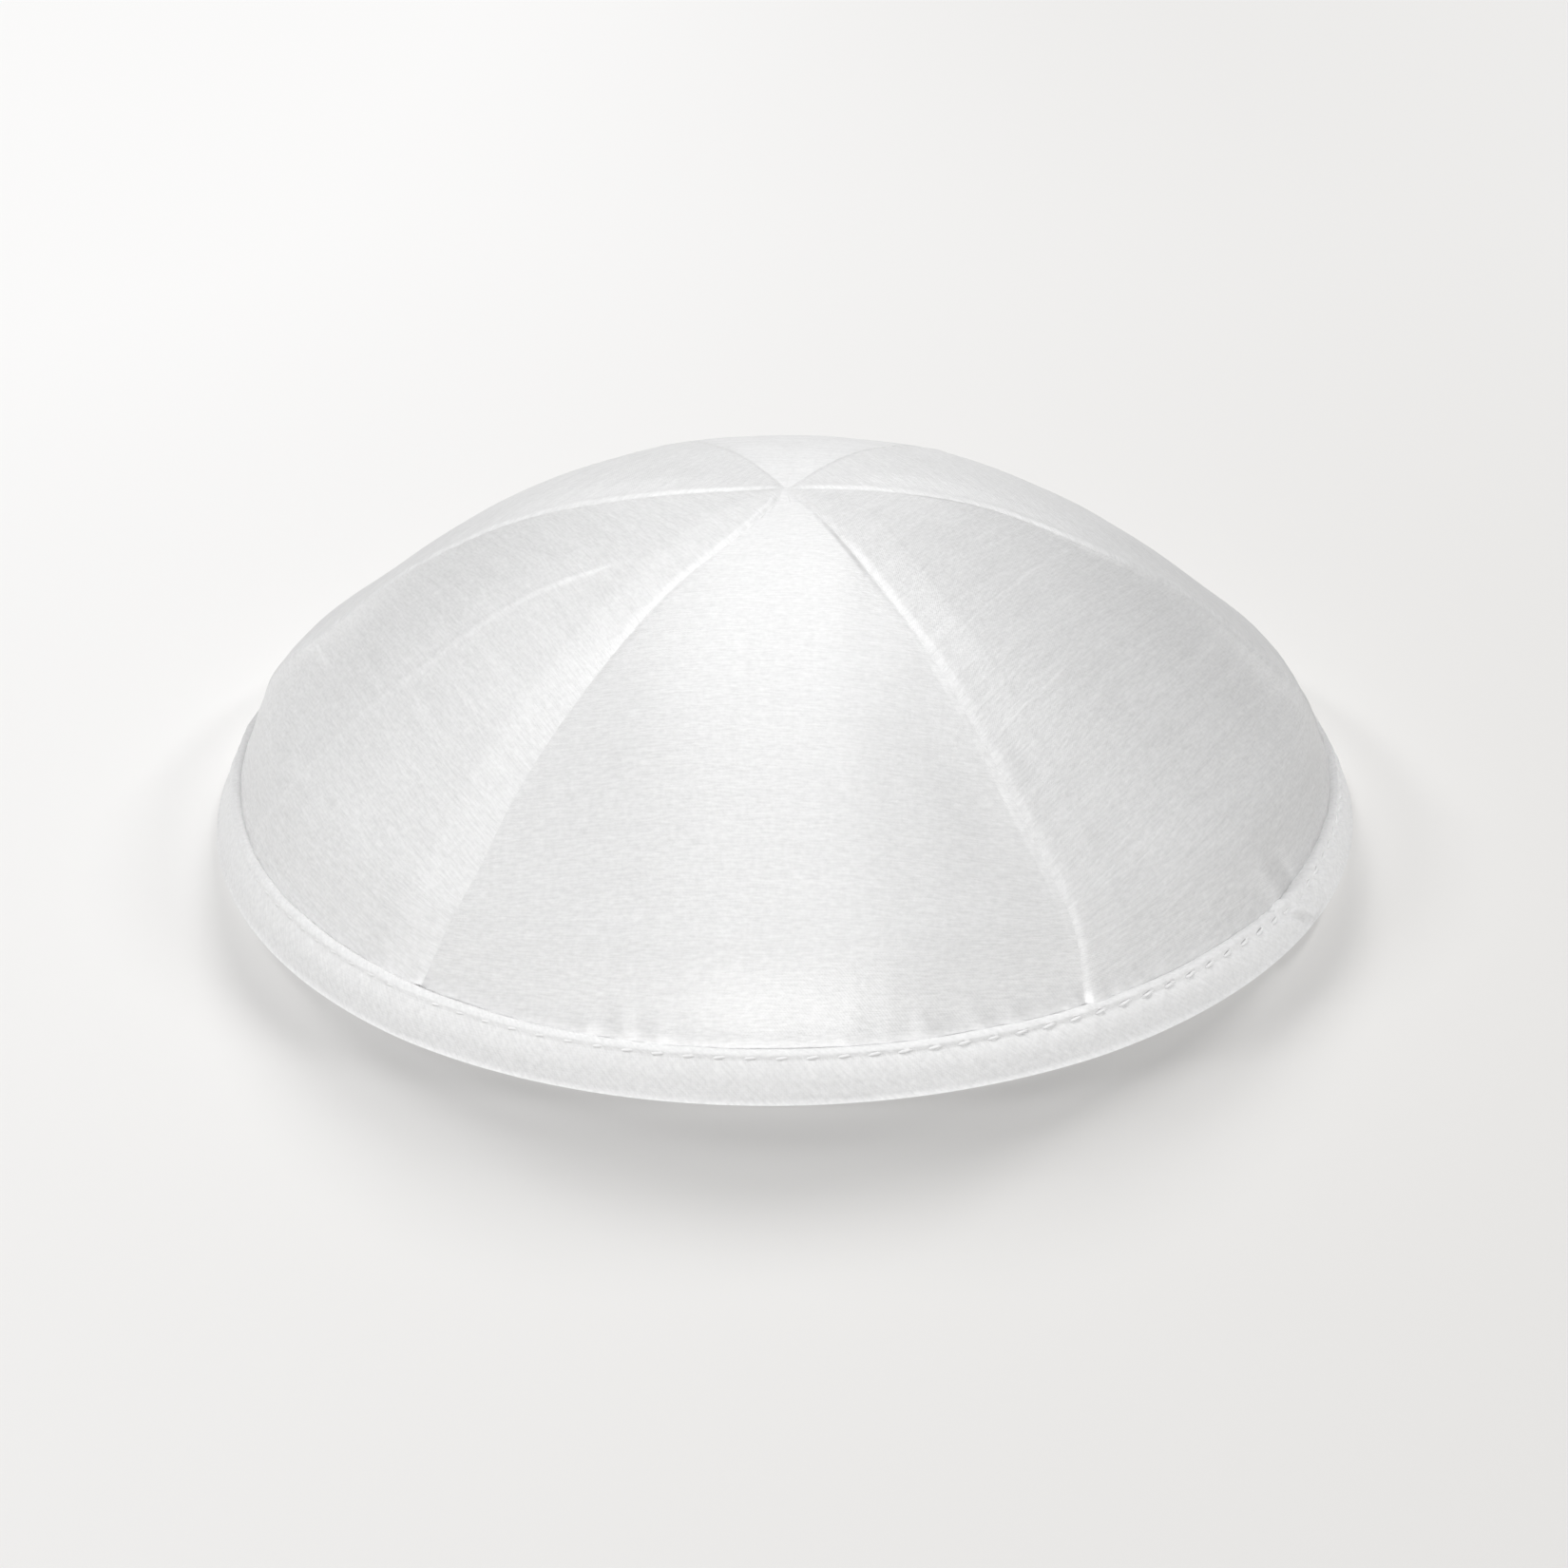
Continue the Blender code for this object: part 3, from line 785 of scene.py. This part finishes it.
# One thick thread, from a start to an end along U and at one V
def singleSlub():
    group, start, end = newGroup(
        "singleSlub",
        (("Vector", "Vector"), ("Start", "Float"), ("End", "Float"), ("Line", "Float"), ("Tilt", "Float"),
            ("Strength", "Float")),
        (("Mask", "Float"),),
    )
    parts = addNode(group, "SeparateXYZ", {0: start.outputs["Vector"]})
    u, v = parts.outputs[0], parts.outputs[1]
    wander = streaks(group, start.outputs["Vector"], 7.0, 400.0, 1.0)
    fromStart = calculate(group, "SUBTRACT", u, start.outputs["Start"])
    line = calculate(group, "MULTIPLY_ADD", fromStart, start.outputs["Tilt"], start.outputs["Line"])
    line = calculate(group, "MULTIPLY_ADD", calculate(group, "SUBTRACT", wander, 0.5), 1.2, line)
    across = calculate(group, "ABSOLUTE", calculate(group, "SUBTRACT", v, line))
    across = spread(group, across, 0.05, 0.42, 1.0, 0.0)
    opening = spread(group, fromStart, 0.0, 3.0)
    closing = spread(group, calculate(group, "SUBTRACT", start.outputs["End"], u), 0.0, 3.0)
    mask = calculate(group, "MULTIPLY", across, calculate(group, "MULTIPLY", opening, closing))
    mask = calculate(group, "MULTIPLY", mask, start.outputs["Strength"])
    group.links.new(mask, end.inputs["Mask"])
    return group


weaveGroup, slubGroup = clothWeave(), singleSlub()

silkLook = {
    "colour": (0.86, 0.86, 0.86),
    "roughness": 0.42,
    "anisotropy": 0.85,
    "streaks": 1.0,
    "slubs": 0.1,
    "grain": 1.0,
    "coarseSides": 2.0,  # how much stronger the larger streaks are in all gores but the front one
    "toneOfStreaks": 0.16,
    "toneOfAllowance": 0.055,  # whiter where the seam's allowances lie under the silk
    "bump": 0.035 * mm,
    # thick threads that stand out: gore, from and to in mm from its middle, mm from the crown, tilt and strength
    "slubRows": (
        ("front_right", -17.6, 20.8, 40.8, -0.03, 0.40),
        ("front_right", -28.8, -8.0, 55.2, 0.0, 0.50),
        ("front_right", 9.0, 27.0, 66.8, -0.05, 0.32),
        ("front_right", -28.0, -18.0, 89.5, -0.12, 0.28),
        ("front_left", -36.0, -21.0, 72.5, 0.07, 0.42),
        ("front_left", -8.0, 2.0, 48.6, 0.09, 0.36),
        ("front_left", -10.0, 9.0, 64.8, 0.06, 0.20),
    ),
}
bindingLook = {
    "colour": (0.86, 0.86, 0.86),
    "roughness": 0.55,
    "turn": 43,  # degrees, because the strip is cut across the weave
    "streaks": 0.7,
    "slubs": 0.0,
    "grain": 1.2,
    "tone": 0.15,
    "bump": 0.03 * mm,
}
threadLook = {"colour": (0.88, 0.88, 0.88), "roughness": 0.42, "twist": 0.5, "bump": 0.02 * mm}


def newMaterial(name, look):
    material = bpy.data.materials.new(name)
    material.use_nodes = True
    shader = material.node_tree.nodes["Principled BSDF"]
    shader.inputs["Roughness"].default_value = look["roughness"]
    return material, material.node_tree, shader


# The look's colour, made lighter or darker by a tone around nought
def tintedColour(tree, look, tone, strength):
    gain = calculate(tree, "MULTIPLY_ADD", tone, strength, 1.0)
    return addNode(
        tree, "VectorMath", {0: look["colour"], "Scale": gain}, operation="SCALE",
    ).outputs["Vector"]


def addBump(tree, shader, height, distance):
    bump = addNode(tree, "Bump", {"Height": height, "Strength": 1.0, "Distance": distance})
    tree.links.new(bump.outputs["Normal"], shader.inputs["Normal"])


# A node of a shader group, with its inputs filled
def useGroup(tree, group, inputs):
    node = tree.nodes.new("ShaderNodeGroup")
    node.node_tree = group
    for socket, value in inputs.items():
        if isinstance(value, bpy.types.NodeSocket):
            tree.links.new(value, node.inputs[socket])
        else:
            node.inputs[socket].default_value = value
    return node


def useWeave(tree, look, vector, coarse):
    inputs = {"Vector": vector, "Streaks": look["streaks"], "Slubs": look["slubs"], "Grain": look["grain"]}
    node = useGroup(tree, weaveGroup, {**inputs, "Coarse": coarse})
    return node.outputs["Height"], node.outputs["Tone"]


def silkMaterial():
    look = silkLook
    material, tree, shader = newMaterial("whiteSilk", look)
    cloth = addNode(tree, "UVMap", uv_map="cloth").outputs["UV"]
    u = addNode(tree, "SeparateXYZ", {0: cloth}).outputs[0]
    spacing = silkGores["uvSpacing"]
    coarse = spread(tree, u, spacing / 4, spacing * 3 / 4, 1.0, look["coarseSides"])
    height, tone = useWeave(tree, look, cloth, coarse)
    names = [row["name"] for row in gores]
    for name, first, last, line, tilt, strength in look["slubRows"]:
        offset = names.index(name) * spacing
        values = {"Start": first + offset, "End": last + offset, "Line": line, "Tilt": tilt, "Strength": strength}
        node = useGroup(tree, slubGroup, {"Vector": cloth, **values})
        height = calculate(tree, "ADD", height, node.outputs["Mask"])
        tone = calculate(tree, "ADD", tone, node.outputs["Mask"])
    allowance = addNode(tree, "Attribute", attribute_name="allowance").outputs["Fac"]
    under = look["toneOfAllowance"] / look["toneOfStreaks"]
    tone = calculate(tree, "MULTIPLY_ADD", allowance, under, tone)
    tree.links.new(tintedColour(tree, look, tone, look["toneOfStreaks"]), shader.inputs["Base Color"])
    addBump(tree, shader, height, look["bump"])
    # the threads across each gore spread its gloss down from the crown
    tangent = addNode(tree, "Tangent", direction_type="UV_MAP", uv_map="cloth")
    tree.links.new(tangent.outputs["Tangent"], shader.inputs["Tangent"])
    shader.inputs["Anisotropic"].default_value = look["anisotropy"]
    shader.inputs["Anisotropic Rotation"].default_value = 0.25
    shader.inputs["Specular IOR Level"].default_value = 1.0
    return material


def bindingMaterial():
    look = bindingLook
    material, tree, shader = newMaterial("whiteBinding", look)
    cloth = addNode(tree, "UVMap", uv_map="cloth").outputs["UV"]
    turned = addNode(tree, "Mapping", {"Vector": cloth, "Rotation": (0, 0, radians(look["turn"]))})
    height, tone = useWeave(tree, look, turned.outputs["Vector"], 1.0)
    tree.links.new(tintedColour(tree, look, tone, look["tone"]), shader.inputs["Base Color"])
    addBump(tree, shader, height, look["bump"])
    return material


def threadMaterial():
    look = threadLook
    material, tree, shader = newMaterial("whiteThread", look)
    place = addNode(tree, "TexCoord").outputs["Object"]
    ply = {"Vector": place, "Scale": 1 / (look["twist"] * mm), "Detail": 1.0}
    ply = addNode(tree, "TexNoise", ply).outputs["Fac"]
    tone = calculate(tree, "SUBTRACT", ply, 0.5)
    tree.links.new(tintedColour(tree, look, tone, 0.06), shader.inputs["Base Color"])
    addBump(tree, shader, ply, look["bump"])
    return material


silk, bias, cotton = silkMaterial(), bindingMaterial(), threadMaterial()
for piece, row in zip(silkPieces, gores):
    piece.data.materials.append(silk)
    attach(piece, "root")
    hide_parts("panel_" + row["name"])
binding.data.materials.append(bias)
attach(binding, "root")
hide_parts("rim_binding")
for piece in (outerStitches, innerStitches):
    piece.data.materials.append(cotton)
    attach(piece, "root")
print("materials made")

stage = {
    "floorSize": 8,
    # painted light on the floor: its colour is lighter to the back left and darker to the front right, as if the light
    # fell off across it. overY and overX give the first and the last place in metres, and the painted lit end's share
    # at each.
    "paintedLitEnd": (0.93, 0.925, 0.92),
    "paintedShadeEnd": (0.74, 0.73, 0.715),
    "overY": (-0.30, 0.35, 0.0, 0.50),
    "overX": (-0.20, 0.20, 0.55, -0.09),
    # each light's azimuth from the front towards +X, its elevation, its strength, its angle across and what it
    # lights
    "lights": (
        ("overhead", 0, 90, 0.37, 35, "cap"),
        ("behind", 180, 60, 1.70, 35, "cap"),
        ("lowBehind", 180, 22, 0.45, 35, "cap"),
        ("backLeft", 225, 40, 0.28, 35, "cap"),
        ("left", 270, 40, 0.12, 35, "cap"),
        ("front", 0, 10, 2.19, 35, "cap"),
        ("frontLeft", 330, 10, 0.40, 35, "cap"),
        ("bindingAbove", 0, 90, 1.05, 35, "binding"),
        ("bindingRight", 50, 35, 1.62, 35, "binding"),
        ("bindingLeft", 285, 35, 1.60, 35, "binding"),
        ("floorAbove", 0, 90, 1.15, 18, "floor"),
        ("floorBehindRight", 168, 30, 1.19, 9, "floor"),
        ("floorBehindLeft", 192, 30, 0.95, 9, "floor"),
        ("floorBackRight", 155, 36, 0.31, 9, "floor"),
        ("floorBackLeft", 205, 36, 0.45, 9, "floor"),
        ("floorRight", 115, 36, 0.47, 9, "floor"),
        ("floorLeft", 245, 36, 0.52, 9, "floor"),
    ),
}

bpy.ops.object.select_all(action="DESELECT")
bpy.ops.mesh.primitive_plane_add(size=stage["floorSize"])
floor = bpy.context.object
floor.name = "floor"
floorLook = {"colour": (1, 1, 1), "roughness": 0.9}
paper, paperTree, paperShader = newMaterial("paleFloor", floorLook)
where = addNode(paperTree, "SeparateXYZ", {0: addNode(paperTree, "TexCoord").outputs["Object"]})
# painted light: the floor's colour runs from the painted shade at the front right to the painted lit end at the back
# left
shares = [spread(paperTree, where.outputs[axis], *stage["over" + axis]) for axis in ("Y", "X")]
mix = addNode(paperTree, "Mix", {"Factor": calculate(paperTree, "ADD", *shares)}, data_type="RGBA")
mix.inputs["A"].default_value = (*stage["paintedShadeEnd"], 1)
mix.inputs["B"].default_value = (*stage["paintedLitEnd"], 1)
paperTree.links.new(mix.outputs["Result"], paperShader.inputs["Base Color"])
paperShader.inputs["Specular IOR Level"].default_value = 0.0
floor.data.materials.append(paper)

world = bpy.data.worlds.new("studio")
bpy.context.scene.world = world
world.use_nodes = True
background = world.node_tree.nodes["Background"]
background.inputs["Color"].default_value = (*stage["paintedLitEnd"], 1)
seen = addNode(world.node_tree, "LightPath").outputs["Is Camera Ray"]  # it is seen, and it lights nothing
world.node_tree.links.new(seen, background.inputs["Strength"])


# A light falls on the pieces of its own collection only, and everything shades it
lit = {name: bpy.data.collections.new(name + "Lit") for name in ("cap", "binding", "floor")}
lit["floor"].objects.link(floor)
for piece in silkPieces:
    lit["cap"].objects.link(piece)
for piece in (binding, outerStitches, innerStitches):
    lit["binding"].objects.link(piece)


def addSun(name, azimuth, elevation, strength, across, receivers):
    lamp = bpy.data.lights.new(name, "SUN")
    lamp.energy = strength
    lamp.angle = radians(across)
    sun = bpy.data.objects.new(name, lamp)
    azimuth, elevation = radians(azimuth), radians(elevation)
    away = Vector((sin(azimuth) * cos(elevation), -cos(azimuth) * cos(elevation), sin(elevation)))
    sun.rotation_mode = "QUATERNION"
    sun.rotation_quaternion = away.to_track_quat("Z", "Y")
    sun.light_linking.receiver_collection = lit[receivers]
    bpy.context.scene.collection.objects.link(sun)


for values in stage["lights"]:
    addSun(*values)

view = {
    "place": (0.93 * mm, -317.33 * mm, 173.77 * mm),
    "aim": (0.26 * mm, 0.27 * mm, -2.82 * mm),
    "roll": radians(-0.267),
    "lens": 52.14,
}
cameraData = bpy.data.cameras.new("camera")
cameraData.lens = view["lens"]
cameraData.sensor_width = 36
cameraData.clip_start = 0.01
camera = bpy.data.objects.new("camera", cameraData)
camera.location = view["place"]
camera.rotation_mode = "QUATERNION"
look = (Vector(view["aim"]) - Vector(view["place"])).to_track_quat("-Z", "Y")
camera.rotation_quaternion = look @ Quaternion((0, 0, 1), view["roll"])
bpy.context.scene.collection.objects.link(camera)
bpy.context.scene.camera = camera
bpy.context.scene.view_settings.view_transform = "Standard"
print("stage, lights and camera made")
